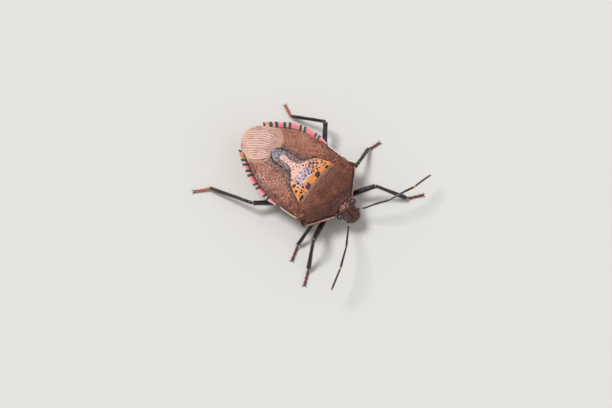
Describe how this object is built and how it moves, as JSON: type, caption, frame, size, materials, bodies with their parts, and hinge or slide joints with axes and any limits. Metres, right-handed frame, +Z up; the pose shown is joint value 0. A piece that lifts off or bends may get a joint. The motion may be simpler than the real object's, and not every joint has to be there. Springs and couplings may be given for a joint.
{
  "type": "shield bug",
  "caption": "Life-size display model of a brown shield bug with an orange scutellum and a banded rim, standing on its feet.",
  "frame": {"origin": "on the floor, under the middle of the model's bounding box", "axes": "+Z up from the floor, +Y from the head to the tail, +X to the insect's left"},
  "size_m": [0.0236, 0.0264, 0.0065],
  "materials": {
    "brown_cuticle": "satin, densely pitted maroon-brown shell",
    "wing_cuticle": "satin, finely pitted warm brown, tan at the veined tip",
    "scutellum_cuticle": "satin orange with dark pits and a grey-mauve centre",
    "rim_cuticle": "satin coral pink with black-green bands",
    "underside_cuticle": "satin ochre-brown",
    "leg_cuticle": "glossy purple-black",
    "eye_facets": "glossy dark red-brown",
    "foot_cuticle": "satin red-brown to coral"
  },
  "bodies": {
    "root": {"head": "brown_cuticle", "prothorax": "brown_cuticle", "pterothorax": "underside_cuticle", "scutellum": "scutellum_cuticle", "abdomen": "underside_cuticle", "rostrum": "leg_cuticle", "eye_left": "eye_facets", "antenna_left": "leg_cuticle", "forewing_left": "wing_cuticle", "connexivum_left": "rim_cuticle", "eye_right": "eye_facets", "antenna_right": "leg_cuticle", "forewing_right": "wing_cuticle", "connexivum_right": "rim_cuticle", "femur_fore_left": "leg_cuticle", "tibia_fore_left": "leg_cuticle", "tarsus_fore_left": "foot_cuticle", "femur_fore_right": "leg_cuticle", "tibia_fore_right": "leg_cuticle", "tarsus_fore_right": "foot_cuticle", "femur_mid_left": "leg_cuticle", "tibia_mid_left": "leg_cuticle", "tarsus_mid_left": "foot_cuticle", "femur_mid_right": "leg_cuticle", "tibia_mid_right": "leg_cuticle", "tarsus_mid_right": "foot_cuticle", "femur_hind_left": "leg_cuticle", "tibia_hind_left": "leg_cuticle", "tarsus_hind_left": "foot_cuticle", "femur_hind_right": "leg_cuticle", "tibia_hind_right": "leg_cuticle", "tarsus_hind_right": "foot_cuticle"}
  },
  "joints": []
}
